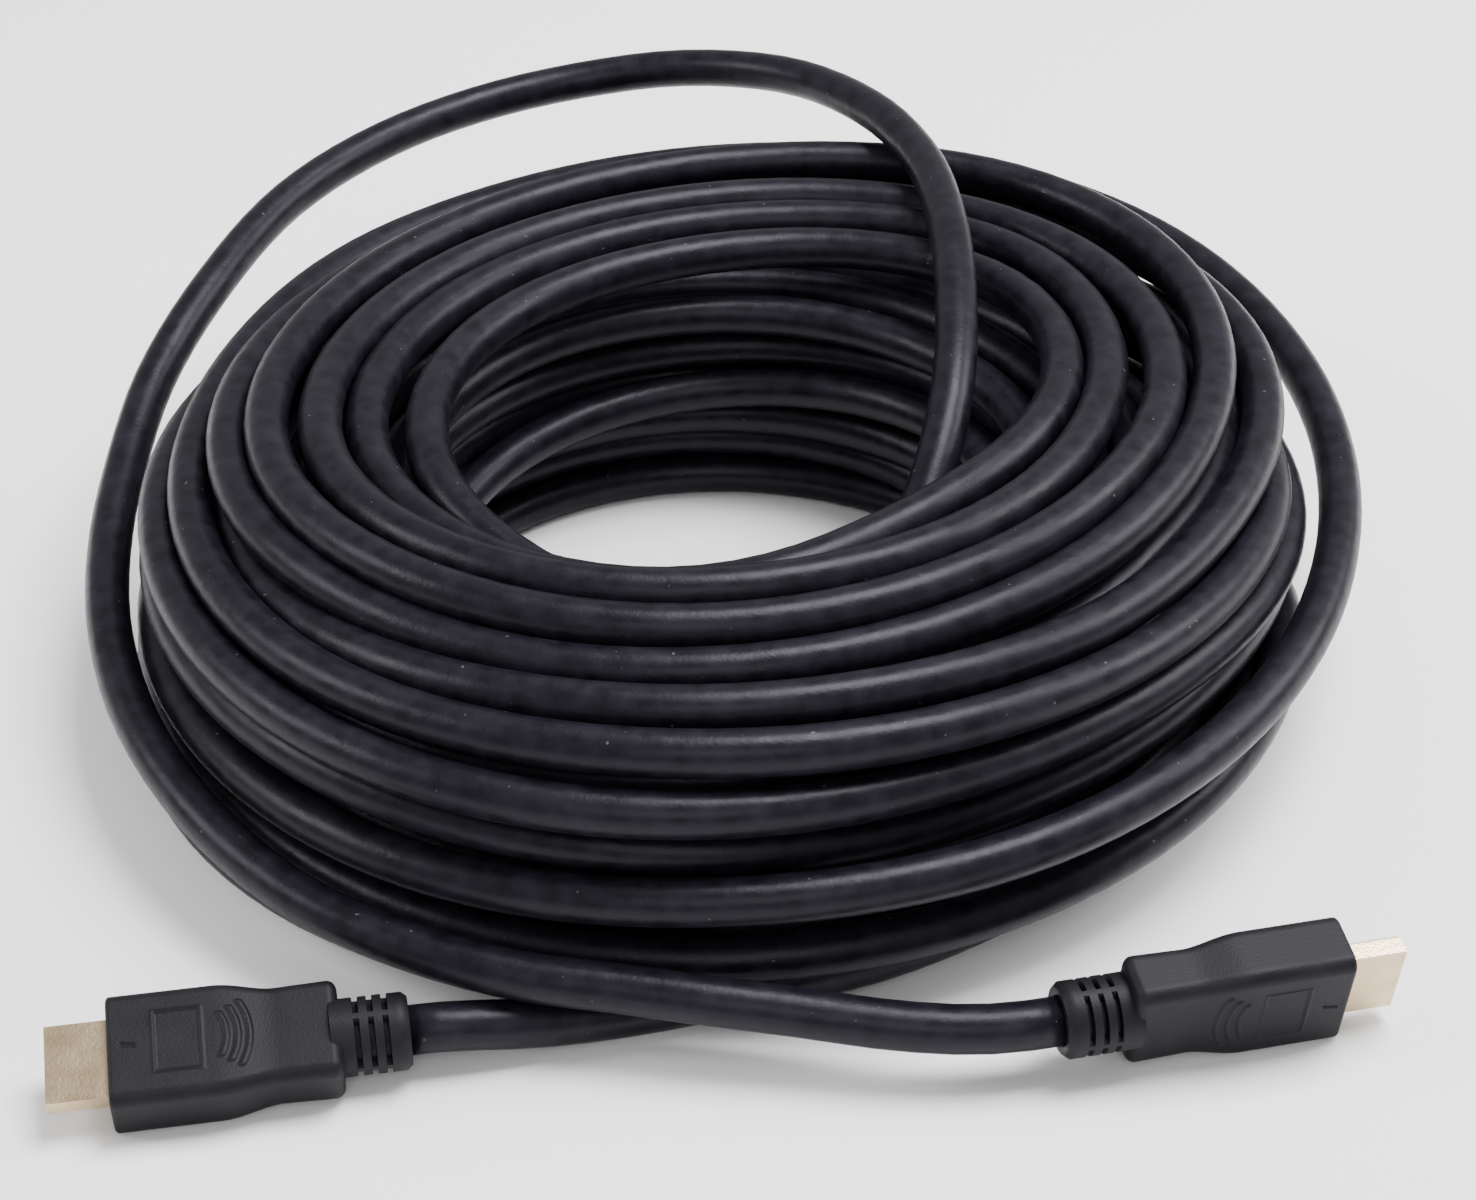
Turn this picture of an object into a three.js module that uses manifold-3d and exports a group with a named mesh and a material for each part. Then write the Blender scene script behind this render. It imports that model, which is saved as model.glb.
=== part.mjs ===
import * as THREE from "three";
import { mergeVertices } from "three/addons/utils/BufferGeometryUtils.js";
import Module from "manifold-3d";

// A 20 m HDMI cable, wound in a thick loose coil that lies flat. One loose turn rises over the coil,
// and both ends lie in front of it, each with a moulded plug.
// Millimetres, +Z up. While it is built, the coil's axis is the Z axis and the floor is z = 0.
// At the end the whole model moves, so that the origin is the bottom centre of its bounding box.

const cable_diameter = 8;
const clearance = 0.3;

// The coil's section, given by the centres of its outer turns
const coil_height = 60;
const eye_turn_radius = 60;
const foot_turn_radius = 84;
const belly_turn_radius = 104;
const belly_height = 30;
const shoulder_turn_radius = 100;
const shoulder_height = 47;
const crown_turn_radius = 91;
const turn_pitch = 7.6;
const coil_segments = 48;

// The moulded plug body
const body_length = 36;
const front_width = 20;
const front_thickness = 11;
const rear_width = 17.4;
const rear_thickness = 9.8;
const waist_start = 12;
const waist_length = 6;
const body_edge_radius = 2.2;
const body_end_rounding = 1.6;

// The strain relief, moulded in one with the body
const relief_radius = 6.2;
const relief_length = 10.8;
const relief_chamfer = 0.9;
const collar_length = 3.2;
const relief_slot_width = 0.9;
const relief_slot_pitch = 2.3;
const relief_slot_rows = 3;
const relief_slot_depth = 1.4;
const relief_bridges = 4;
const relief_bridge_width = 1.3;

// The metal shell of the plug
const shell_width = 13.9;
const shell_height = 4.45;
const shell_straight_side = 2.9;
const shell_chamfer_width = 1.6;
const shell_wall = 0.3;
const shell_length = 9.8;
const shell_root = 4;

// The contact carrier inside the shell
const carrier_inset = 1.2;
const tongue_slot_width = 11.2;
const tongue_slot_height = 2;
const tongue_slot_depth = 8;
const contact_pitch = 1;
const contact_width = 0.45;
const contact_thickness = 0.3;
const contact_length = 6;
const contact_clearance = 0.1;
const upper_contacts = 10;
const lower_contacts = 9;

// Where the plugs lie: the middle of the relief's rear face, the heading of the shell and the roll
const left_plug = { place: [-49, -112.5, 7.7], heading: 190, roll: -17, first_bend: 5 };
const right_plug = { place: [53.5, -113.5, 10.5], heading: 13, roll: 101, first_bend: 5 };

// The end that runs from the coil's foot to the left plug
const tail_points = [
  [-30, -108.7, 5.7],
  [-16, -105, 4.5],
  [-1, -100.6, 4.2],
  [13, -95.8, 4.3],
];

// The end that runs from the right plug round the coil's left side, up, over its rear rim and into the eye
const loop_points = [
  [40, -115.6, 10.6],
  [27, -115, 11],
  [13, -113.2, 12],
  [-3, -111.5, 13.2],
  [-16, -109.5, 13.8],
  [-32, -107, 14.3],
  [-51, -100.5, 15.3],
  [-70, -89, 16.5],
  [-88, -70.5, 19],
  [-102, -47.5, 22],
  [-110, -24, 25],
  [-113.5, 0, 28],
  [-113.5, 22, 32],
  [-111, 43, 37.5],
  [-103.5, 67, 44],
  [-91, 97, 49],
  [-73, 121, 51.5],
  [-51, 138, 53],
  [-27, 145, 55.5],
  [-8, 143, 58.5],
  [14, 131, 62],
  [31, 107, 65],
  [40, 83, 65.5],
  [43.5, 58, 65],
  [44, 32, 62.5],
  [42, 6, 55.5],
  [36.5, -13, 45],
  [27.5, -29, 33],
  [14, -41, 23],
  [-4, -48.5, 15.5],
];

const tube_sides = 10;
const tube_step = 18;

const wasm = await Module();
wasm.setup();

const cable_colour = new THREE.MeshStandardMaterial({ color: 0x15141a, roughness: 0.45, metalness: 0 });
const overmould_colour = new THREE.MeshStandardMaterial({ color: 0x18171c, roughness: 0.6, metalness: 0 });
const carrier_colour = new THREE.MeshStandardMaterial({ color: 0x101013, roughness: 0.5, metalness: 0 });
const shell_colour = new THREE.MeshStandardMaterial({ color: 0xc9a877, roughness: 0.3, metalness: 1 });
const contact_colour = new THREE.MeshStandardMaterial({ color: 0xd8b25a, roughness: 0.25, metalness: 1 });

function named(name, geometry, material) {
  const mesh = new THREE.Mesh(geometry, material.clone());
  mesh.name = name;
  return mesh;
}

function toSolid(geometry) {
  const bare = new THREE.BufferGeometry();
  bare.setAttribute("position", geometry.getAttribute("position").clone());
  bare.setIndex(geometry.getIndex());
  const merged = mergeVertices(bare, 1e-5);
  const vertProperties = new Float32Array(merged.getAttribute("position").array);
  const triVerts = new Uint32Array(merged.getIndex().array);
  return new wasm.Manifold(new wasm.Mesh({ numProp: 3, vertProperties, triVerts }));
}

function toGeometry(solid) {
  const mesh = solid.getMesh();
  const geometry = new THREE.BufferGeometry();
  geometry.setAttribute("position", new THREE.BufferAttribute(new Float32Array(mesh.vertProperties), 3));
  geometry.setIndex(new THREE.BufferAttribute(new Uint32Array(mesh.triVerts), 1));
  return geometry;
}

// A shape drawn across the plug (u along the width, v along the thickness), extruded along the plug's X
function extrudeAlongX(shape, from, length, curveSegments = 6) {
  const geometry = new THREE.ExtrudeGeometry(shape, { depth: length, bevelEnabled: false, curveSegments });
  geometry.rotateX(Math.PI / 2);
  geometry.rotateZ(Math.PI / 2);
  geometry.translate(from, 0, 0);
  return geometry;
}

// The coil is a ring whose outside shows its turns: one arc for each turn on the section's outline
function coilGeometry() {
  const turn_radius = cable_diameter / 2;
  const top = coil_height - turn_radius;
  const outline = new THREE.Path();
  outline.moveTo(eye_turn_radius, turn_radius);
  outline.lineTo(foot_turn_radius, turn_radius);
  outline.lineTo(belly_turn_radius, belly_height);
  outline.lineTo(shoulder_turn_radius, shoulder_height);
  outline.lineTo(crown_turn_radius, top);
  outline.lineTo(eye_turn_radius, top);
  outline.lineTo(eye_turn_radius, turn_radius);
  const turns = Math.round(outline.getLength() / turn_pitch);
  const profile = [];
  for (let turn = 0; turn < turns; turn += 1) {
    const centre = outline.getPointAt(turn / turns);
    const before = outline.getPointAt((turn - 0.5 + turns) % turns / turns);
    const after = outline.getPointAt((turn + 0.5) % turns / turns);
    const outward = Math.atan2(-(after.x - before.x), after.y - before.y);
    for (const swing of [-Math.PI / 4, 0, Math.PI / 4]) {
      const angle = outward + swing;
      profile.push(new THREE.Vector2(
        centre.x + turn_radius * Math.cos(angle),
        Math.max(0, centre.y + turn_radius * Math.sin(angle)),
      ));
    }
  }
  profile.push(profile[0].clone());
  const ring = new THREE.LatheGeometry(profile, coil_segments);
  ring.rotateX(Math.PI / 2);
  return ring;
}

function tubeGeometry(points) {
  const curve = new THREE.CatmullRomCurve3(points, false, "centripetal");
  const section = new THREE.Shape();
  for (let side = 0; side < tube_sides; side += 1) {
    const angle = side / tube_sides * Math.PI * 2;
    const x = cable_diameter / 2 * Math.cos(angle);
    const y = cable_diameter / 2 * Math.sin(angle);
    if (side === 0) section.moveTo(x, y);
    else section.lineTo(x, y);
  }
  const steps = Math.ceil(curve.getLength() / tube_step);
  return new THREE.ExtrudeGeometry(section, { steps, bevelEnabled: false, extrudePath: curve });
}

// Points of a rounded rectangle around the plug's axis, at one place along it
function sectionRing(x, width, thickness, radius) {
  const corner_steps = 4;
  const ring = [];
  for (let corner = 0; corner < 4; corner += 1) {
    const side_y = corner === 0 || corner === 3 ? 1 : -1;
    const side_z = corner < 2 ? 1 : -1;
    for (let step = 0; step <= corner_steps; step += 1) {
      const angle = (corner + step / corner_steps) * Math.PI / 2;
      ring.push(new THREE.Vector3(
        x,
        side_y * (width / 2 - radius) + radius * Math.cos(angle),
        side_z * (thickness / 2 - radius) + radius * Math.sin(angle),
      ));
    }
  }
  return ring;
}

// A closed skin over a row of rings, each with as many points
function loft(rings) {
  const count = rings[0].length;
  const positions = rings.flat().flatMap((point) => [point.x, point.y, point.z]);
  const index = [];
  for (let row = 0; row + 1 < rings.length; row += 1) {
    for (let i = 0; i < count; i += 1) {
      const a = row * count + i;
      const b = row * count + (i + 1) % count;
      index.push(a, b, b + count, a, b + count, a + count);
    }
  }
  const last = (rings.length - 1) * count;
  for (let i = 1; i + 1 < count; i += 1) {
    index.push(0, i + 1, i);
    index.push(last, last + i, last + i + 1);
  }
  const geometry = new THREE.BufferGeometry();
  geometry.setAttribute("position", new THREE.Float32BufferAttribute(positions, 3));
  geometry.setIndex(index);
  return geometry;
}

// The body is wide in front and steps in over a smooth waist towards the cable
function bodyGeometry() {
  const rear = relief_length;
  const front = relief_length + body_length;
  const waist_rows = 5;
  const end_rows = 3;
  const rings = [];
  for (let row = 0; row <= end_rows; row += 1) {
    const turn = row / end_rows * Math.PI / 2;
    const inset = 2 * body_end_rounding * (1 - Math.sin(turn));
    const x = rear + body_end_rounding * (1 - Math.cos(turn));
    rings.push(sectionRing(x, rear_width - inset, rear_thickness - inset, body_edge_radius));
  }
  for (let row = 0; row <= waist_rows; row += 1) {
    const share = row / waist_rows;
    const ease = share * share * (3 - 2 * share);
    const width = rear_width + (front_width - rear_width) * ease;
    const thickness = rear_thickness + (front_thickness - rear_thickness) * ease;
    rings.push(sectionRing(rear + waist_start + waist_length * share, width, thickness, body_edge_radius));
  }
  const face_chamfer = body_end_rounding / 3;
  rings.push(sectionRing(front - face_chamfer, front_width, front_thickness, body_edge_radius));
  rings.push(sectionRing(front, front_width - face_chamfer, front_thickness - face_chamfer, body_edge_radius));
  return loft(rings);
}

// The relief is a round sleeve that overlaps the body a little, so that the two join
function reliefGeometry() {
  const overlap = body_end_rounding;
  const profile = [
    new THREE.Vector2(0, 0),
    new THREE.Vector2(relief_radius - relief_chamfer, 0),
    new THREE.Vector2(relief_radius, relief_chamfer),
    new THREE.Vector2(relief_radius, relief_length + overlap),
    new THREE.Vector2(0, relief_length + overlap),
  ];
  const sleeve = new THREE.LatheGeometry(profile, 32);
  sleeve.rotateZ(-Math.PI / 2);
  return sleeve;
}

// Each slot is a stretch of a ring, cut between two of the bridges that stay
function reliefSlot(row, quarter) {
  const inner = relief_radius - relief_slot_depth;
  const outer = relief_radius + 1;
  const half_bridge = relief_bridge_width / 2 / relief_radius;
  const sweep = Math.PI * 2 / relief_bridges;
  const start = quarter * sweep + half_bridge;
  const end = (quarter + 1) * sweep - half_bridge;
  const shape = new THREE.Shape();
  shape.absarc(0, 0, outer, start, end, false);
  shape.absarc(0, 0, inner, end, start, true);
  shape.closePath();
  const from = collar_length + row * relief_slot_pitch;
  return extrudeAlongX(shape, from, relief_slot_width, 8);
}

// The shell's outline has full width on top and two slanting lower corners
function shellOutline(inset) {
  const half = shell_width / 2 - inset;
  const top = shell_height / 2 - inset;
  const bottom = -shell_height / 2 + inset;
  const side = shell_height / 2 - shell_straight_side;
  const chamfer = shell_chamfer_width;
  return [
    [half, top],
    [-half, top],
    [-half, side],
    [-half + chamfer, bottom],
    [half - chamfer, bottom],
    [half, side],
  ].map(([u, v]) => new THREE.Vector2(u, v));
}

function shellSolidShape(inset) {
  return new THREE.Shape(shellOutline(inset));
}

function overmouldGeometry() {
  let solid = toSolid(bodyGeometry()).add(toSolid(reliefGeometry()));
  for (let row = 0; row < relief_slot_rows; row += 1) {
    for (let quarter = 0; quarter < relief_bridges; quarter += 1) {
      solid = solid.subtract(toSolid(reliefSlot(row, quarter)));
    }
  }
  const front = relief_length + body_length;
  const pocket_depth = shell_root + clearance;
  const pocket = extrudeAlongX(shellSolidShape(-clearance), front - pocket_depth, pocket_depth + 1);
  return toGeometry(solid.subtract(toSolid(pocket)));
}

function shellGeometry() {
  const shape = shellSolidShape(0);
  shape.holes.push(new THREE.Path(shellOutline(shell_wall)));
  const start = relief_length + body_length - shell_root;
  return extrudeAlongX(shape, start, shell_root + shell_length);
}

// The carrier fills the shell and has one slot in front for the socket's tongue
function carrierGeometry() {
  const start = relief_length + body_length - shell_root;
  const length = shell_root + shell_length - carrier_inset;
  const block = toSolid(extrudeAlongX(shellSolidShape(shell_wall + clearance), start, length));
  const slot = new THREE.BoxGeometry(tongue_slot_depth * 2, tongue_slot_width, tongue_slot_height);
  slot.translate(start + length, 0, tongueHeight());
  return toGeometry(block.subtract(toSolid(slot)));
}

function tongueHeight() {
  return shell_height / 2 - shell_straight_side / 2;
}

// One row of contacts lies on one wall of the tongue slot
function contactRow(name, count, side) {
  const row = [];
  const front = relief_length + body_length + shell_length - carrier_inset;
  const offset = tongue_slot_height / 2 - contact_clearance - contact_thickness / 2;
  for (let i = 0; i < count; i += 1) {
    const contact = new THREE.BoxGeometry(contact_length, contact_width, contact_thickness);
    const y = (i - (count - 1) / 2) * contact_pitch;
    contact.translate(front - contact_length / 2 - contact_clearance, y, tongueHeight() + side * offset);
    row.push(named(`${name}_${i + 1}`, contact, contact_colour));
  }
  return row;
}

function plugGroup(name, plug) {
  const group = new THREE.Group();
  group.add(named(`${name}_overmould`, overmouldGeometry(), overmould_colour));
  group.add(named(`${name}_shell`, shellGeometry(), shell_colour));
  group.add(named(`${name}_contact_carrier`, carrierGeometry(), carrier_colour));
  group.add(...contactRow(`${name}_upper_contact`, upper_contacts, 1));
  group.add(...contactRow(`${name}_lower_contact`, lower_contacts, -1));
  group.position.set(...plug.place);
  group.rotation.set(
    THREE.MathUtils.degToRad(plug.roll),
    0,
    THREE.MathUtils.degToRad(plug.heading),
    "ZYX",
  );
  return group;
}

// The cable leaves a plug straight along its axis, then follows its own points
function cableFrom(plug, points) {
  const heading = THREE.MathUtils.degToRad(plug.heading);
  const axis = new THREE.Vector3(Math.cos(heading), Math.sin(heading), 0);
  const exit = new THREE.Vector3(...plug.place);
  return [
    exit.clone().addScaledVector(axis, -clearance),
    exit.clone().addScaledVector(axis, -plug.first_bend),
    ...points.map((point) => new THREE.Vector3(...point)),
  ];
}

const cable = new THREE.Group();
cable.add(named("cable_coil", coilGeometry(), cable_colour));
cable.add(named("cable_left_end", tubeGeometry(cableFrom(left_plug, tail_points)), cable_colour));
cable.add(named("cable_loose_turn", tubeGeometry(cableFrom(right_plug, loop_points)), cable_colour));
cable.add(plugGroup("left_plug", left_plug));
cable.add(plugGroup("right_plug", right_plug));

cable.updateMatrixWorld(true);
const bounds = new THREE.Box3().setFromObject(cable, true);
cable.position.set(
  -(bounds.min.x + bounds.max.x) / 2,
  -(bounds.min.y + bounds.max.y) / 2,
  -bounds.min.z,
);

const model = new THREE.Group();
model.add(cable);

export default model;
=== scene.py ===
import bpy
import numpy as np
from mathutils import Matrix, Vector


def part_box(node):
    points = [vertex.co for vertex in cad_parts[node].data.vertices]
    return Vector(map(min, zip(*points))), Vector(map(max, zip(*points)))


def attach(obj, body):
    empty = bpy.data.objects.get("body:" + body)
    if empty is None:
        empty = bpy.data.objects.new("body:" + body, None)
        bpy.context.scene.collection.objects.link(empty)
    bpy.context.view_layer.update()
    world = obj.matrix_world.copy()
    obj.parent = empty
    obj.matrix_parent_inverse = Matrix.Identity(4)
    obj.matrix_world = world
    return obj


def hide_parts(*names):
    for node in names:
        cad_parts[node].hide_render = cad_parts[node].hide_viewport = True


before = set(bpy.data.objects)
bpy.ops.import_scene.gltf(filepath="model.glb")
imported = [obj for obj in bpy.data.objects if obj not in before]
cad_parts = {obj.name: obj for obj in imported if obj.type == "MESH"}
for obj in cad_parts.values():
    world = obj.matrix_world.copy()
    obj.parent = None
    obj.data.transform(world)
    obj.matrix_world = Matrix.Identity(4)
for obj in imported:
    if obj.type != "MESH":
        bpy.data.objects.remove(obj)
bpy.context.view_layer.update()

MM = 0.001

# The coil's axis stands in the middle of the CAD ring; all points below are in millimetres from it
ring_low, ring_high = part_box("cable_coil")
coil_axis = np.array([(ring_low.x + ring_high.x) / 2, (ring_low.y + ring_high.y) / 2, 0.0])


def row_frame(points):
    """Millimetres from the coil's axis to metres in the row frame: scaled, then moved by the axis's place."""
    return np.asarray(points, float) * MM + coil_axis


# ---------------------------------------------------------------- camera

photo_width_px, focal_length_px, sensor_width_mm = 1476, 3000, 36
elevation = np.radians(34)
camera_distance = 565
looked_at = np.array([3, 0, 14])
camera_data = bpy.data.cameras.new("camera")
camera_data.sensor_width = sensor_width_mm
camera_data.lens = sensor_width_mm * focal_length_px / photo_width_px
camera_data.clip_start = 0.01
camera = bpy.data.objects.new("camera", camera_data)
bpy.context.scene.collection.objects.link(camera)
camera.location = row_frame(looked_at + camera_distance * np.array([0, -np.cos(elevation), np.sin(elevation)]))
camera.rotation_euler = (np.pi / 2 - elevation, 0, 0)
bpy.context.scene.camera = camera


# ---------------------------------------------------------------- meshes

def ring_faces(rings, columns):
    """Quads between rings of points kept ring by ring: each joins a point, the one after it on its ring, and the same
    two on the next ring. A ring's last point is followed by its first."""
    ring, column = np.meshgrid(np.arange(rings - 1), np.arange(columns), indexing="ij")
    here, after = ring * columns + column, ring * columns + (column + 1) % columns
    return np.stack([here, after, after + columns, here + columns], -1).reshape(-1, 4)


def closed_tube(rings):
    """Points and faces of a row of rings, with a middle point that closes each end as a fan of triangles."""
    rows, columns, _ = rings.shape
    points = np.vstack([rings.reshape(-1, 3), rings[0].mean(0), rings[-1].mean(0)])
    first, last = rows * columns, rows * columns + 1
    column = np.arange(columns)
    after = (column + 1) % columns
    start = np.stack([after, column, np.full(columns, first)], -1)
    end = np.stack([(rows - 1) * columns + column, (rows - 1) * columns + after, np.full(columns, last)], -1)
    return points, [ring_faces(rows, columns), start, end]


def new_piece(name, points, faces, material, smooth=True):
    """A mesh object at the origin from points in metres and blocks of triangles and quads."""
    mesh = bpy.data.meshes.new(name)
    mesh.from_pydata(points.tolist(), [], [face for block in faces for face in block.tolist()])
    mesh.polygons.foreach_set("use_smooth", np.full(len(mesh.polygons), smooth))
    mesh.materials.append(material)
    mesh.update()
    piece = bpy.data.objects.new(name, mesh)
    bpy.context.scene.collection.objects.link(piece)
    return piece


# ---------------------------------------------------------------- materials

class Socket:
    """A number that runs through a material's nodes; arithmetic on it adds Math nodes."""

    def __init__(self, finish, socket):
        self.finish, self.socket = finish, socket

    def _math(self, operation, first, second):
        node = self.finish.node("ShaderNodeMath", {"operation": operation}, {0: first, 1: second})
        return Socket(self.finish, node.outputs[0])

    def __add__(self, other): return self._math("ADD", self, other)
    def __radd__(self, other): return self._math("ADD", other, self)
    def __mul__(self, other): return self._math("MULTIPLY", self, other)
    def __rmul__(self, other): return self._math("MULTIPLY", other, self)


class Finish:
    """One material: a Principled surface and the nodes that feed it."""

    def __init__(self, name, **constants):
        self.material = bpy.data.materials.new(name)
        self.material.use_nodes = True
        self.tree = self.material.node_tree
        self.surface = self.tree.nodes["Principled BSDF"]
        for socket, value in constants.items():
            self.surface.inputs[socket.replace("_", " ")].default_value = value

    def node(self, kind, settings=None, inputs=None):
        """Adds a node of that type, sets its settings first, a ramp's stops among them, then its sockets."""
        node = self.tree.nodes.new(kind)
        for key, value in (settings or {}).items():
            if key == "stops":
                for stop, (position, colour) in zip(node.color_ramp.elements, value):
                    stop.position, stop.color = position, (*colour, 1)
            else:
                setattr(node, key, value)
        for key, value in (inputs or {}).items():
            if isinstance(value, Socket):
                self.tree.links.new(value.socket, node.inputs[key])
            else:
                node.inputs[key].default_value = value
        return node

    def out(self, node, output=0):
        return Socket(self, node.outputs[output])

    def noise(self, scale, detail):
        """Noise over Object coordinates, with features of about 1/scale metres."""
        place = self.out(self.node("ShaderNodeTexCoord"), "Object")
        return self.out(self.node("ShaderNodeTexNoise", None, {"Vector": place, "Scale": scale, "Detail": detail}))

    def ramp(self, value, low, high, colour_low, colour_high):
        """A colour that goes from one to the other while the value goes from low to high."""
        stops = [(low, colour_low), (high, colour_high)]
        return self.out(self.node("ShaderNodeValToRGB", {"stops": stops}, {0: value}))

    def feed(self, **sockets):
        """Links numbers and colours to the surface's sockets of those names."""
        for name, value in sockets.items():
            self.tree.links.new(value.socket, self.surface.inputs[name.replace("_", " ")])

    def bump(self, height, strength, distance):
        """Lets a height in the pattern tilt the surface; distance is the full height in metres."""
        node = self.node("ShaderNodeBump", None, {"Height": height, "Strength": strength, "Distance": distance})
        self.feed(Normal=self.out(node, 0))


def jacket_finish():
    """Satin black PVC: soft lumps, a fine grain, scuffs that change the gloss, and a few pale specks of dust."""
    finish = Finish("cable_jacket", IOR=1.47, Specular_IOR_Level=0.17, Specular_Tint=(0.93, 0.9, 1, 1))
    lumps = finish.noise(95, 2.0)
    grain = finish.noise(1500, 2.0)
    scuffs = finish.noise(260, 5.0)
    specks = finish.noise(1100, 0.0)
    black, rubbed, dust = (0.004, 0.0036, 0.0058), (0.010, 0.009, 0.014), (0.06, 0.06, 0.065)
    dusty = finish.ramp(specks, 0.86, 0.89, black, dust)
    worn = finish.ramp(scuffs, 0.35, 0.75, black, rubbed)
    mixed = finish.node("ShaderNodeMix", {"data_type": "RGBA", "blend_type": "LIGHTEN"}, {0: 1.0, 6: dusty, 7: worn})
    finish.feed(Base_Color=finish.out(mixed, 2), Roughness=0.26 + 0.22 * scuffs)
    finish.bump(0.75 * lumps + 0.08 * grain + 0.1 * scuffs, 0.5, 0.0009)
    return finish.material


def overmould_finish():
    """Matte black moulded PVC: a fine even grain and slightly shinier rubbed patches."""
    finish = Finish("overmould", IOR=1.5, Specular_IOR_Level=0.15, Specular_Tint=(0.94, 0.92, 1, 1))
    grain = finish.noise(2600, 2.0)
    patches = finish.noise(140, 3.0)
    finish.feed(
        Base_Color=finish.ramp(patches, 0.3, 0.75, (0.005, 0.0048, 0.0062), (0.010, 0.0096, 0.0118)),
        Roughness=0.4 + 0.2 * patches,
    )
    finish.bump(0.35 * grain + 0.4 * patches, 0.35, 0.0004)
    return finish.material


def shell_finish():
    """Champagne gold plated sheet: faint rolling marks along the plug and a little cloudiness."""
    finish = Finish("plug_shell", Metallic=1.0)
    cloud = finish.noise(220, 3.0)
    marks = finish.noise(1900, 1.0)
    finish.feed(
        Base_Color=finish.ramp(cloud, 0.3, 0.7, (0.56, 0.42, 0.26), (0.66, 0.52, 0.35)),
        Roughness=0.17 + 0.08 * cloud + 0.03 * marks,
    )
    finish.bump(marks, 0.12, 0.0002)
    return finish.material


def carrier_finish():
    """Black moulded insulator with a fine grain."""
    finish = Finish("contact_carrier")
    grain = finish.noise(2200, 2.0)
    finish.feed(
        Base_Color=finish.ramp(grain, 0.3, 0.7, (0.006, 0.006, 0.007), (0.011, 0.011, 0.012)),
        Roughness=0.4 + 0.15 * grain,
    )
    finish.bump(grain, 0.3, 0.0003)
    return finish.material


def contact_finish():
    """Gold plated contacts with a slight wipe pattern."""
    finish = Finish("contacts", Metallic=1.0)
    wipe = finish.noise(1600, 2.0)
    finish.feed(
        Base_Color=finish.ramp(wipe, 0.3, 0.7, (0.68, 0.46, 0.16), (0.76, 0.56, 0.24)),
        Roughness=0.2 + 0.15 * wipe,
    )
    finish.bump(wipe, 0.1, 0.0002)
    return finish.material


def floor_finish():
    """Plain pale studio floor."""
    finish = Finish("studio_floor", Roughness=0.9)
    soft = finish.noise(3, 2.0)
    finish.feed(Base_Color=finish.ramp(soft, 0.2, 0.8, (0.92, 0.92, 0.925), (0.94, 0.94, 0.945)))
    return finish.material


jacket = jacket_finish()
moulded = overmould_finish()
plated = shell_finish()
insulator = carrier_finish()
gilt = contact_finish()


# ---------------------------------------------------------------- the cable's route

cable_diameter = 8.0
cable_sides = 18
route_step = 6.0
free_end_step = 7
plug_clearance = 0.3
cable_entry = 1.2

# As the CAD's plugs and free ends: the middle of the relief's rear face, the heading, the roll, and how far the
# cable goes on straight behind the plug
left_plug = {"place": (-49, -112.5, 7.7), "heading": 190, "roll": -17, "first_bend": 5}
right_plug = {"place": (53.5, -113.5, 10.5), "heading": 13, "roll": 101, "first_bend": 5}
tail_points = [(-30, -108.7, 5.7), (-16, -105, 4.5), (-1, -100.6, 4.2), (13, -95.8, 4.3)]
loop_points = [
    (40, -115.6, 10.6), (27, -115, 11), (13, -113.2, 12), (-3, -111.5, 13.2), (-16, -109.5, 13.8),
    (-32, -107, 14.3), (-51, -100.5, 15.3), (-70, -89, 16.5), (-88, -70.5, 19), (-102, -47.5, 22),
    (-110, -24, 25), (-113.5, 0, 28), (-113.5, 22, 32), (-111, 43, 37.5), (-103.5, 67, 44), (-91, 97, 49),
    (-73, 121, 51.5), (-51, 138, 53), (-27, 145, 55.5), (-8, 143, 58.5), (14, 131, 62), (31, 107, 65),
    (40, 83, 65.5), (43.5, 58, 65), (44, 32, 62.5), (42, 6, 55.5), (36.5, -13, 45), (27.5, -29, 33),
    (14, -41, 23), (-4, -48.5, 15.5),
]

# The coil's section changes round it. Radius of its inner and outer wall at these angles, low and high up
wall_angles = [0, 20, 45, 70, 95, 125, 150, 180, 205, 241, 259, 280, 302, 317, 336, 350, 360]
inner_wall_low = [60, 59, 59, 63, 68, 70, 70, 67, 64, 61, 60, 58, 56, 56, 56, 58, 60]
inner_wall_high = [60, 64, 68, 66, 62, 59, 57, 56, 56, 58, 61, 58, 53, 52, 54, 57, 60]
outer_wall_low = [97, 100, 103, 103, 100, 100, 102, 105, 108, 104, 99, 94, 92, 92, 91.5, 93, 97]
outer_wall_high = [105, 114, 122, 119, 114, 106, 102, 103, 103, 103, 102, 95, 87, 88, 92, 98, 105]

# The turns inside the coil, in the order they are wound: place across the section (0 inside, 1 outside), height
inner_turns = (
    [(share, 4) for share in (0.75, 0.5, 0.25, 0)]
    + [(share, 12.2) for share in (0, 0.25, 0.5, 0.75)] + [(1, 14.5)]
    + [(share, 20.4) for share in (0.8, 0.6, 0.4, 0.2, 0)]
    + [(share, 28.6) for share in (0, 0.2, 0.4, 0.6, 0.8)]
    + [(share, 36.8) for share in (0.8, 0.6, 0.4, 0.2, 0)]
    + [(share, 45) for share in (0, 0.2, 0.4)]
)

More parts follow.
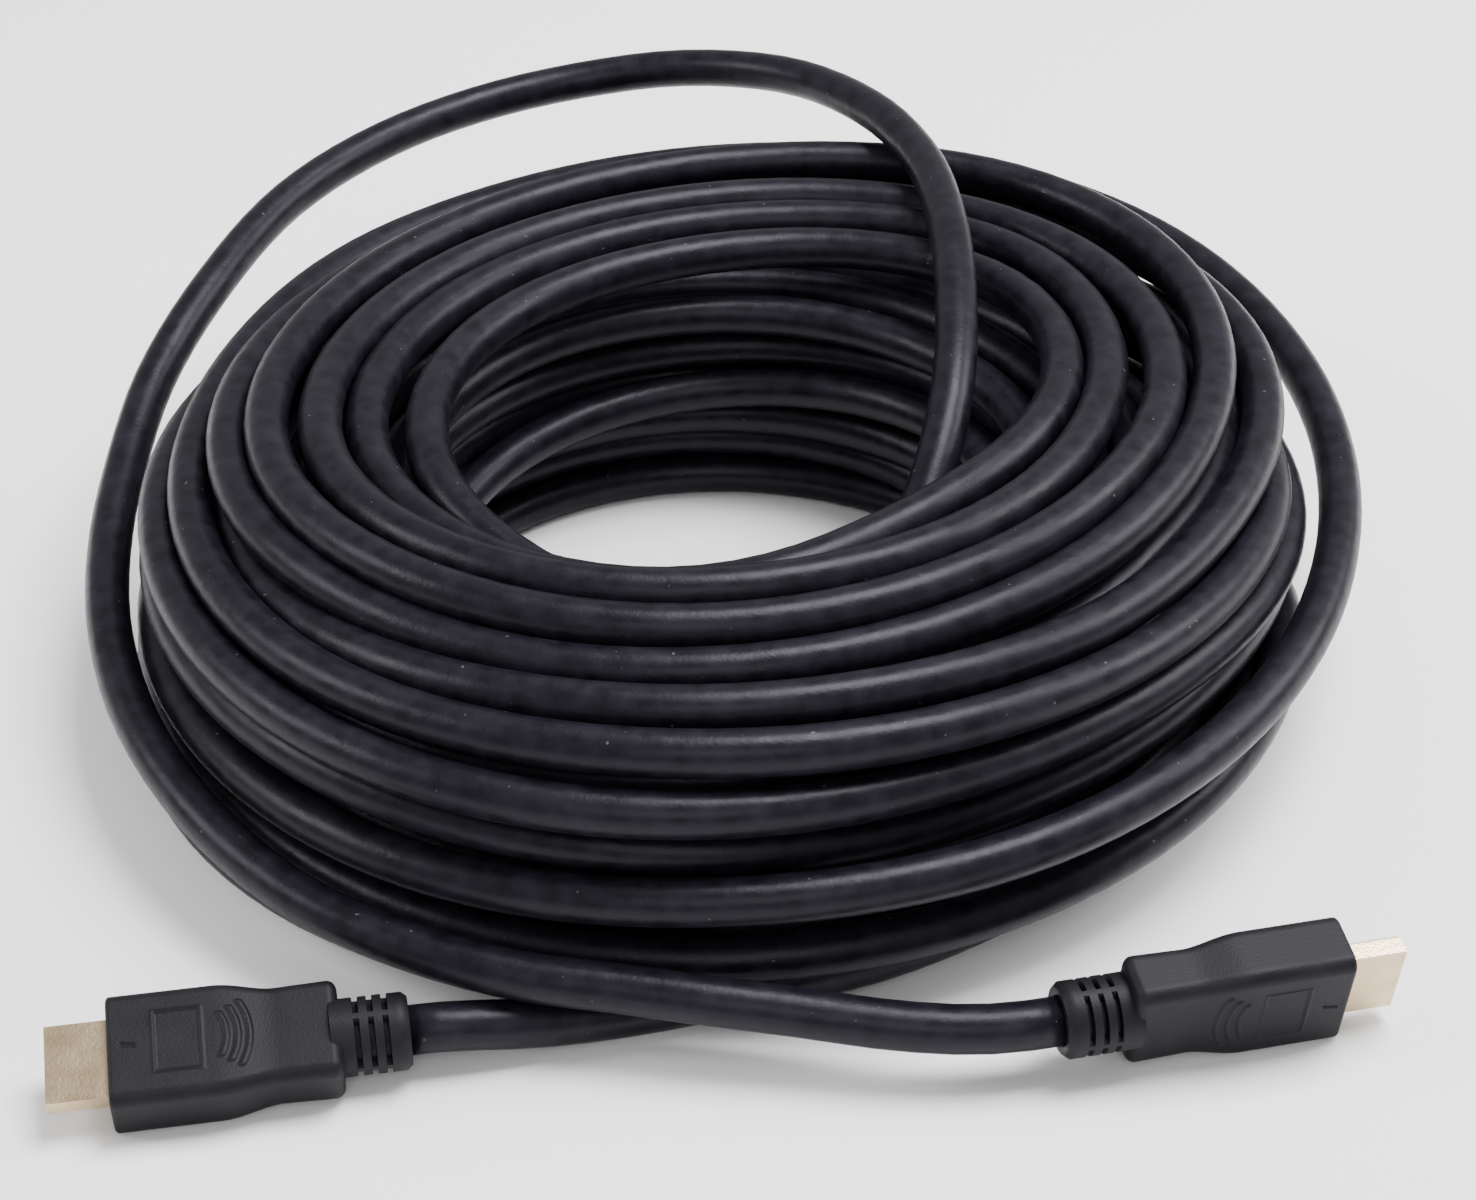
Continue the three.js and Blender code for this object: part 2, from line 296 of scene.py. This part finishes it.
# Turns seen in the photograph, each as (angle, radius, height). The angle counts on from turn to turn
foot_turn = [
    (284, 95.2, 4.8), (291, 94.5, 6.8), (298, 94.4, 9.2), (307, 94.8, 11.4), (320, 95.5, 12.2), (345, 98, 12.2),
    (380, 102, 12.2), (450, 102, 12.2), (490, 103, 11), (520, 105, 7), (545, 107, 4), (565, 107.5, 4), (592, 105, 4),
    (603, 102, 4), (615, 97, 4), (630, 92, 4), (638, 88.5, 4), (650, 88.5, 4), (660, 90.5, 4), (677, 91.5, 4),
    (688, 91.5, 4),
]
front_wall_turns = [
    (42, 107, 42), (90, 106, 42), (140, 100, 42), (180, 102.5, 41), (195, 101, 41), (205, 100.5, 41),
    (221, 102.5, 41), (235, 102.5, 41), (250, 102, 41), (264, 101, 41), (288, 94, 39), (298, 91.5, 37.5),
    (312, 90, 35.5), (330, 92, 34), (346, 99, 33), (358, 105, 32), (380, 110, 32), (450, 107, 33), (500, 100, 33),
    (540, 103, 33), (551, 103, 33), (568, 101, 33), (587, 102, 33), (599, 100, 33), (609, 98.5, 32), (628, 97, 31),
    (663, 86, 25), (678, 88, 24.5), (696, 92, 24), (710, 98, 24), (725, 107, 23), (745, 110, 22), (810, 108, 22),
    (860, 101, 22), (900, 104, 22), (922, 103.7, 24), (930, 103.6, 24), (948, 104.4, 24), (961, 105, 24),
    (970, 104.5, 24), (979, 103, 25),
]
upper_turns = [
    # the loose outer turn on the right, over the back, and down the left side
    (268, 102, 27), (295, 104, 27), (315, 104, 28), (338, 107, 29), (359, 112, 31), (384, 125, 35), (405, 136, 41),
    (414, 139, 44), (437, 126, 46), (452, 120, 47), (475, 110, 47), (508, 98, 47), (541, 95, 46), (579, 93, 46),
    (605, 93, 48), (628, 95, 50), (663, 92, 47), (697, 92, 41), (720, 103, 38), (745, 104, 38), (790, 104, 40),
    (840, 92, 46), (880, 88, 46), (919, 90, 48), (954, 89, 49), (988, 88, 53), (1010, 84, 52), (1043, 85, 47),
    (1064, 87, 47), (1080, 97, 47), (1099, 109, 47), (1119, 116, 48), (1138, 114, 48.5), (1160, 105, 49),
    (1200, 92, 49), (1250, 90, 50), (1290, 86, 51), (1310, 82, 52), (1348, 77, 53), (1389, 73, 53), (1432, 82, 54),
    # the wide turn at the back
    (1454, 94, 55), (1471, 106, 55), (1495, 117, 55), (1515, 105, 55), (1533, 99, 55), (1560, 89, 55),
    (1601, 82, 56), (1647, 82, 56), (1676, 78, 56), (1707, 70, 56), (1736, 67, 56), (1778, 71, 56), (1802, 80, 56),
    (1824, 89, 56), (1850, 95.5, 56), (1880, 86, 56), (1917, 75, 56), (1950, 71.5, 56), (1993, 72.5, 57),
    (2024, 70, 58), (2067, 62, 58), (2100, 60, 58), (2123, 60, 57), (2154, 64.5, 56), (2182, 77, 56),
    (2210, 89, 56), (2238, 77, 55), (2270, 70, 55), (2323, 64, 55), (2353, 65, 54), (2366, 62, 51.5), (2385, 58, 51),
    # the innermost turn, which dives into the eye
    (2400, 56, 51), (2425, 54.5, 52), (2440, 51.5, 53), (2450, 48, 53), (2460, 45, 53), (2487, 47.5, 55),
    (2515, 57, 56), (2538, 67.5, 56), (2562, 76, 56), (2589, 69, 55), (2614, 60, 55), (2645, 55, 55),
    (2680, 52.5, 55), (2713, 53.5, 54),
    (2728, 54, 52), (2745, 51.5, 48), (2775, 51, 44), (2810, 48, 41), (2850, 47, 37.5), (2880, 52, 34),
    (2925, 58, 30), (2970, 58.5, 26.5), (3015, 57, 22.5), (3060, 55.5, 17.5), (3085, 55.5, 13.5),
    (3105, 55.3, 11.8), (3122, 54, 11.8), (3135, 51.5, 13.2),
]

# How the coil settles: each turn is followed at this many planes through the axis
planes = 72
plane_step = 360 / planes
plan_eased, edges_faded, settling_rounds = 6, 12, 800
hidden_waves = ((0.37, 1.3), (0.61, 1.3), (1.3, 0.7), (2.2, 0.7))  # waves for each radian wound, height
clear_of_each_other = 1.005 * cable_diameter
furthest_push = 1.5
cord_stiffness = 0.35
seen_gives = 0.15  # a hidden turn gives way by 1
seen_held, hidden_held = 0.06, 0.006  # share of the way back to the plan in each round
hidden_held_late, late = 0.3, 0.6
sinking = 0.01


def curve_through(points, steps):
    """The centripetal Catmull-Rom curve of the CAD's tubes: between two points a cubic that leaves and meets them
    with slopes worked out from the square roots of the gaps on both sides."""
    points = np.asarray(points, float)
    points = np.vstack([2 * points[0] - points[1], points, 2 * points[-1] - points[-2]])
    gap = np.sqrt(np.linalg.norm(np.diff(points, axis=0), axis=1))
    before, here, after = (gap[k:len(gap) - 2 + k, None, None] for k in range(3))
    p0, p1, p2, p3 = (points[k:len(points) - 3 + k, None, :] for k in range(4))
    leave = ((p1 - p0) / before - (p2 - p0) / (before + here) + (p2 - p1) / here) * here
    meet = ((p2 - p1) / here - (p3 - p1) / (here + after) + (p3 - p2) / after) * here
    t = np.linspace(0, 1, steps, endpoint=False)[None, :, None]
    curve = ((2 * t**3 - 3 * t**2 + 1) * p1 + (t**3 - 2 * t**2 + t) * leave
             + (3 * t**2 - 2 * t**3) * p2 + (t**3 - t**2) * meet)
    return np.vstack([curve.reshape(-1, 3), points[-2:-1]])


def evenly(points, step):
    """The same line with points about a step apart: its length is shared out evenly, and each point is found on the
    straight line between its two neighbours."""
    along = np.concatenate([[0], np.cumsum(np.linalg.norm(np.diff(points, axis=0), axis=1))])
    at = np.linspace(0, along[-1], int(round(along[-1] / step)) + 1)
    return np.stack([np.interp(at, along, points[:, k]) for k in range(3)], 1)


def plug_axis(plug):
    """The direction a plug points in, level: the cosine and the sine of its heading."""
    heading = np.radians(plug["heading"])
    return np.array([np.cos(heading), np.sin(heading), 0])


def behind_plug(plug):
    """The two points at which the cable leaves a plug: straight back along its axis from the middle of its rear."""
    place, axis = np.array(plug["place"], float), plug_axis(plug)
    return [place - plug_clearance * axis, place - plug["first_bend"] * axis]


def polar(points, first_angle):
    """Angle that counts on round the axis, radius and height; the first angle is the one nearest to first_angle."""
    angle = np.degrees(np.unwrap(np.arctan2(points[:, 1], points[:, 0])))
    angle += 360 * np.round((first_angle - angle[0]) / 360)
    return angle, np.hypot(points[:, 0], points[:, 1]), points[:, 2]


def wall_radius(low, high, angle, rise):
    """A wall's radius at an angle: read between the listed angles low and high up, and mixed by rise from 0 to 1."""
    return (np.interp(angle % 360, wall_angles, low) * (1 - rise)
            + np.interp(angle % 360, wall_angles, high) * rise)


def planned_turns():
    """All stations of the coil between its two free ends: (angle, radius, height, 1 where the turn lies hidden). A
    hidden turn's radius is a share of the way from the inner to the outer wall at its angle and height. It keeps its
    layer for 280 degrees and goes over to the next one in the other 80."""
    stations = [(*station, 0) for station in foot_turn]
    first_angle, inner_slope, outer_slope = 690, 41, 20
    for turn, (share, height) in enumerate(inner_turns):
        for swing in range(50, 331, 20):
            angle, above = first_angle + 360 * turn + swing, height - cable_diameter / 2
            inside = wall_radius(inner_wall_low, inner_wall_high, angle, min(1, above / inner_slope))
            outside = wall_radius(outer_wall_low, outer_wall_high, angle, min(1, above / outer_slope))
            stations.append((angle, inside + share * (outside - inside), height, 1))
    base = 360 * np.ceil((stations[-1][0] + 20 - front_wall_turns[0][0]) / 360)
    stations += [(angle + base, radius, height, 0) for angle, radius, height in front_wall_turns]
    base = 360 * np.round((stations[-1][0] + 9 - upper_turns[0][0]) / 360)
    stations += [(angle + base, radius, height, 0) for angle, radius, height in upper_turns]
    return np.array(stations)


def planned_coil(tail, loop):
    """The plan of the whole winding: its angles, plane by plane, radius and height there, where the cable is kept
    still, where it is hidden, and the angles at which the free ends go into the coil. Radius and height are read
    between the stations and eased, each value by half of itself and a quarter of both neighbours. The hidden turns
    then get a few slow sine waves, so that they lie unevenly as real ones do."""
    stations = planned_turns()
    tail_angle = 246
    tail_polar = np.array(polar(tail, tail_angle))
    loop_polar = np.array(polar(loop[::-1], stations[-1, 0] + 18))
    known = np.hstack([tail_polar, stations[:, :3].T, loop_polar])
    first, last = np.ceil(known[0, 0] / plane_step), np.floor(known[0, -1] / plane_step)
    angles = np.arange(first, last + 1) * plane_step
    plan = np.stack([np.interp(angles, known[0], known[k]) for k in (1, 2)])
    tail_end, loop_start = tail_polar[0, -1], loop_polar[0, 0]
    still = (angles <= tail_end + 2) | (angles >= loop_start - 2)
    hidden = (np.interp(angles, stations[:, 0], stations[:, 3]) > 0.5) & ~still
    for _ in range(plan_eased):
        eased = plan.copy()
        eased[:, 1:-1] = plan[:, 1:-1] / 2 + (plan[:, :-2] + plan[:, 2:]) / 4
        plan = np.where(still, plan, eased)
    fade = hidden.astype(float)
    for _ in range(edges_faded):
        fade[1:-1] = fade[1:-1] / 2 + (fade[:-2] + fade[2:]) / 4
    random = np.random.default_rng(4)
    for k in range(2):
        for waves, height in hidden_waves:
            start = random.random() * 2 * np.pi
            plan[k] += height * np.sin(waves * np.radians(angles) + start) * fade * hidden
    return angles, plan, still, hidden, tail_end, loop_start


def settled_coil(angles, plan, still, hidden):
    """The cable as radius and height in each plane of its winding, with its turns pushed clear of each other.
    In each plane through the axis, any two turns closer than a diameter are pushed apart along the line between them;
    between the pushes the cable is smoothed along its length as a stiff cord is, and pulled back to its plan.
    The two free ends stay as they are, and the turns seen in the photograph give way little. The pushes and the pull
    balance, so at a few crossings on the right and at the rear right the turns still sink into each other."""
    lie = plan.copy()
    lie[1] = np.maximum(lie[1], cable_diameter / 2)
    place = np.round(angles / plane_step).astype(int)
    turn, plane = place // planes, place % planes
    turn -= turn.min()
    turns = turn.max() + 1
    slot = turn * planes + plane
    give = np.zeros(turns * planes)
    give[slot] = np.where(still, 0, np.where(hidden, 1, seen_gives))
    give = give.reshape(turns, planes)
    one, other = np.triu_indices(turns, 1)
    give_sum = np.maximum(give[one] + give[other], 1e-6)
    hold = np.where(still, 1, np.where(hidden, hidden_held, seen_held))
    for done in range(settling_rounds):
        table = np.full((2, turns * planes), np.inf)
        table[:, slot] = lie
        table = table.reshape(2, turns, planes)
        with np.errstate(invalid="ignore"):
            apart = table[:, other] - table[:, one]
        apart = np.nan_to_num(apart, nan=1e3, posinf=1e3, neginf=1e3)
        distance = np.sqrt((apart**2).sum(0))
        short = np.clip(clear_of_each_other - distance, 0, None) / np.maximum(distance, 1e-3)
        push = np.zeros((2, turns, planes))
        for k in range(2):
            np.add.at(push[k], one, -apart[k] * short * give[one] / give_sum)
            np.add.at(push[k], other, apart[k] * short * give[other] / give_sum)
        lie = lie + np.clip(push.reshape(2, -1)[:, slot] / 2, -furthest_push, furthest_push)
        for _ in range(2):
            bend = np.zeros_like(lie)
            bend[:, 1:-1] = (lie[:, :-2] + lie[:, 2:]) / 2 - lie[:, 1:-1]
            lie = lie + np.where(still, 0, cord_stiffness) * bend
        pull = np.where(hidden, hidden_held_late, 1) if done > late * settling_rounds else 1
        lie = lie + (plan - lie) * hold * pull
        lie[1] -= np.where(hidden, sinking, 0)
        lie[1] = np.where(still, lie[1], np.maximum(lie[1], cable_diameter / 2))
    return lie


def cable_route():
    """The whole centreline in millimetres: out of the left plug, the coil, the loose turn, into the right plug. The
    coil's points are radius times the cosine and the sine of the angle, and the height; where the free ends meet it,
    one curve runs through the points of both."""
    tail = curve_through(behind_plug(left_plug) + tail_points, 16)
    loop = curve_through(behind_plug(right_plug) + loop_points, 16)
    angles, plan, still, hidden, tail_end, loop_start = planned_coil(tail, loop)
    radius, height = settled_coil(angles, plan, still, hidden)
    turn = np.radians(angles)
    coil = np.stack([radius * np.cos(turn), radius * np.sin(turn), height], 1)
    coil = coil[(angles > tail_end + 4) & (angles < loop_start - 4)]
    start, finish = (np.array(plug["place"]) + cable_entry * plug_axis(plug) for plug in (left_plug, right_plug))
    knots = [start, evenly(tail, free_end_step)[:-2], coil, evenly(loop[::-1], free_end_step)[2:], finish]
    return evenly(curve_through(np.vstack(knots), 4), route_step)


def tube_rings(route, radius, sides):
    """A circle of that radius around each point of the route, square to it: the circle's first direction is the
    part of straight up that is square to the route, and its second is square to both."""
    ahead = np.gradient(route, axis=0)
    ahead /= np.linalg.norm(ahead, axis=1)[:, None]
    up = np.array([0, 0, 1.0]) - ahead[:, 2:3] * ahead
    up /= np.linalg.norm(up, axis=1)[:, None]
    side = np.cross(ahead, up)
    angle = np.arange(sides) / sides * 2 * np.pi
    circle = up[:, None] * np.cos(angle)[None, :, None] + side[:, None] * np.sin(angle)[None, :, None]
    return route[:, None] + radius * circle


route = cable_route()
cable_points, cable_faces = closed_tube(tube_rings(route, cable_diameter / 2, cable_sides))
cable = new_piece("cable", row_frame(cable_points), cable_faces, jacket)
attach(cable, "root")
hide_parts("cable_coil", "cable_left_end", "cable_loose_turn")


# ---------------------------------------------------------------- the plugs

body_rear, body_front = 10.8, 46.8
rear_rounding, front_rounding = 1.6, 0.7
relief_radius = 6.2
sharpest_smooth_edge = np.radians(50)


def rise(value, start, end):
    """A smooth step from 0 to 1 while value goes from start to end: three times the square less twice the cube."""
    t = np.clip((value - start) / (end - start), 0, 1)
    return t * t * (3 - 2 * t)


def arcs_height(x, y):
    """Height of three raised arcs. Each is a line at its radius round a point in front of them: full up to 0.25 mm
    from the radius, gone at 0.62 mm, and ended at its half height across the plug."""
    centre = 36.5
    arcs = np.zeros_like(x)
    for radius, half_height in ((8.2, 4.2), (10.0, 5.2), (11.8, 6.1)):
        away = np.abs(np.hypot(x - centre, y) - radius)
        line = (1 - rise(away, 0.25, 0.62)) * (1 - rise(np.abs(y), half_height - 0.4, half_height)) * (x < centre)
        arcs = np.maximum(arcs, line)
    return 0.32 * arcs


def label_height(x, y):
    """A plain rectangular field, sunk a little inside its edge, with a thin rim line on it; it carries nothing."""
    away = np.maximum(np.abs(x - 35.9) - 3.7, np.abs(y) - 5.4)
    field = 1 - rise(away, -0.25, 0.1)
    rim = 1 - rise(np.abs(away), 0.12, 0.4)
    return 0.16 * rim - 0.14 * field


def tick_height(x, y):
    """A short cut line near the front edge, slightly askew: sunk inside a narrow rectangle, with a soft edge."""
    away = np.maximum(np.abs(x - 43.6) - 1.1, np.abs(y + 0.18 * (x - 43.6)) - 0.16)
    return -0.3 * (1 - rise(away, 0.0, 0.25))


def rounded_rectangle(width, thickness, radius, count):
    """A row of points and outward directions for each width, thickness and corner radius, evenly spaced by length
    round the outline: at each corner a quarter circle round the corner's middle, then the straight side after it."""
    width, thickness, radius = width[:, None], thickness[:, None], radius[:, None]
    flat_y, flat_z, bend = width - 2 * radius, thickness - 2 * radius, np.pi / 2 * radius
    at = np.arange(count) / count * (2 * (flat_y + flat_z) + 4 * bend)
    points, outward = np.zeros((*at.shape, 2)), np.zeros((*at.shape, 2))
    run = np.zeros_like(radius)
    for corner, (side_y, side_z) in enumerate(((1, 1), (-1, 1), (-1, -1), (1, -1))):
        middle = np.stack([side_y * flat_y / 2, side_z * flat_z / 2], -1)
        swing = corner * np.pi / 2 + np.clip((at - run) / radius, 0, np.pi / 2)
        direction = np.stack([np.cos(swing), np.sin(swing)], -1)
        along = np.stack([-np.sin(swing), np.cos(swing)], -1)
        straight = np.clip(at - run - bend, 0, None)
        after = run + bend + (flat_z if corner % 2 else flat_y)
        here = (at >= run) & (at < after)
        place = middle + radius[..., None] * direction + straight[..., None] * along
        points[here], outward[here] = place[here], direction[here]
        run = after
    return points, outward


def body_rings(columns=264):
    """The plug body: rounded rectangles along X. It is 17.4 by 9.8 mm behind and 20 by 11 mm in front, with a smooth
    step between and a shallow pinch before it; both ends are rounded over by quarter circles. The arcs stand on both
    wide faces, the label field and the tick on one."""
    rear_turn, front_turn = np.linspace(0, np.pi / 2, 10), np.linspace(0, np.pi / 2, 8)
    rear_x = body_rear + rear_rounding * (1 - np.cos(rear_turn))
    front_x = body_front - front_rounding * (1 - np.sin(front_turn))
    between = np.linspace(rear_x[-1], front_x[0], 176)[1:-1]
    x = np.concatenate([rear_x, between, front_x])
    inset = np.concatenate([
        rear_rounding * (1 - np.sin(rear_turn)), np.zeros_like(between), front_rounding * (1 - np.cos(front_turn)),
    ])
    step = rise(x, body_rear + 9.5, body_rear + 19.5)
    pinch = np.exp(-((x - body_rear - 11) / 3.2) ** 2)
    tail = 1 - rise(x, body_rear, body_rear + 7)
    width = 17.4 + 2.6 * step - 0.15 * pinch + 0.15 * tail
    thickness = 9.8 + 1.2 * step - 0.2 * pinch + 0.15 * tail
    corner_radius = np.maximum(0.5, 2.2 - 0.6 * inset)
    section, outward = rounded_rectangle(width - 2 * inset, thickness - 2 * inset, corner_radius, columns)
    along, y = np.repeat(x[:, None], columns, 1), section[..., 0]
    wide_face = np.clip((np.abs(outward[..., 1]) - 0.98) / 0.02, 0, 1) * (inset[:, None] == 0)
    label_side = outward[..., 1] > 0
    height = arcs_height(along, y) + np.where(label_side, label_height(along, y) + tick_height(along, y), 0)
    section = section + (height * wide_face)[..., None] * outward
    return np.concatenate([along[..., None], section], -1)


def relief_rings(columns=168):
    """The strain relief: circles along X. Three rows of slots are cut into the sleeve between four bridges, and the
    cable goes into a shallow hole in its rear face."""
    angle = np.arange(columns) / columns * 2 * np.pi
    slot_width, slot_depth = 0.9, 1.4
    slots = [3.2 + 2.3 * row for row in range(3)]
    edges = [slot + off for slot in slots for off in (-0.02, 0.1, slot_width - 0.1, slot_width + 0.02)]
    x = np.array(sorted([0, 0.9, 2.0, 2.6, 9.4, 10.0, 10.8, 12.4] + edges))
    sleeve_x = np.repeat(x[:, None], columns, 1)
    radius = np.full_like(sleeve_x, relief_radius)
    radius[0] = relief_radius - 0.75
    from_bridge = np.abs((angle + np.pi / 4) % (np.pi / 2) - np.pi / 4) * relief_radius
    is_open = rise(from_bridge, 0.62, 0.86)
    for slot in slots:
        in_slot = (x > slot + 0.05) & (x < slot + slot_width - 0.05)
        radius[in_slot] -= slot_depth * is_open
    hole = np.array([(1.5, 1.0), (1.5, 4.12), (0.12, 4.12), (0.0, 4.3), (0.0, 5.2)])
    hole_x, hole_radius = (np.repeat(hole[:, k:k + 1], columns, 1) for k in (0, 1))
    sleeve_x, radius = np.vstack([hole_x, sleeve_x]), np.vstack([hole_radius, radius])
    return np.stack([sleeve_x, radius * np.cos(angle), radius * np.sin(angle)], -1)


def plug_to_row(plug, points):
    """Plug coordinates to the row frame: rolled about X, headed about Z, moved to the plug's place, in metres."""
    roll, heading = np.radians(plug["roll"]), np.radians(plug["heading"])
    x, y, z = points[..., 0], points[..., 1], points[..., 2]
    y, z = y * np.cos(roll) - z * np.sin(roll), y * np.sin(roll) + z * np.cos(roll)
    x, y = x * np.cos(heading) - y * np.sin(heading), x * np.sin(heading) + y * np.cos(heading)
    return row_frame(np.stack([x, y, z], -1) + np.array(plug["place"], float))


def make_overmould(name, plug):
    """One piece of body and relief, both closed, which replaces the CAD overmould of that plug."""
    body_points, body_faces = closed_tube(body_rings())
    relief_points, relief_faces = closed_tube(relief_rings())
    points = np.vstack([body_points, relief_points])
    faces = body_faces + [block + len(body_points) for block in relief_faces]
    piece = new_piece(f"{name}_overmould_detailed", plug_to_row(plug, points), faces, moulded)
    piece.data.set_sharp_from_angle(angle=sharpest_smooth_edge)
    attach(piece, "root")
    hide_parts(f"{name}_overmould")
    return piece


overmoulds = [make_overmould("left_plug", left_plug), make_overmould("right_plug", right_plug)]

for name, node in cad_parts.items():
    finish = (plated if name.endswith("shell") else insulator if name.endswith("carrier")
              else gilt if "contact_" in name else moulded if name.endswith("overmould") else jacket)
    node.data.materials.clear()
    node.data.materials.append(finish)

# ---------------------------------------------------------------- floor and light

floor_points = np.array([(-4, -4, 0), (4, -4, 0), (4, 4, 0), (-4, 4, 0)], float)
floor = new_piece("studio_floor", floor_points, [np.array([[0, 1, 2, 3]])], floor_finish(), smooth=False)


def soft_light(name, place, size, power):
    """A white square area light at that place in metres, turned to the floor's middle."""
    data = bpy.data.lights.new(name, "AREA")
    data.size, data.energy = size, power
    light = bpy.data.objects.new(name, data)
    bpy.context.scene.collection.objects.link(light)
    x, y, z = place
    light.location = place
    light.rotation_euler = (np.arctan2(np.hypot(x, y), z), 0, np.arctan2(x, -y))


soft_light("top_softbox", (0.35, 0.1, 1.15), 0.6, 29)
soft_light("left_softbox", (-1.1, -0.1, 0.75), 0.5, 10)
soft_light("right_softbox", (1.0, 0.3, 0.7), 0.5, 10)
soft_light("front_fill", (0.1, -1.3, 1.0), 0.7, 6)

world = bpy.data.worlds.new("studio_air")
world.use_nodes = True
world.node_tree.nodes["Background"].inputs[0].default_value = (1, 1, 1, 1)
world.node_tree.nodes["Background"].inputs[1].default_value = 0.6
bpy.context.scene.world = world
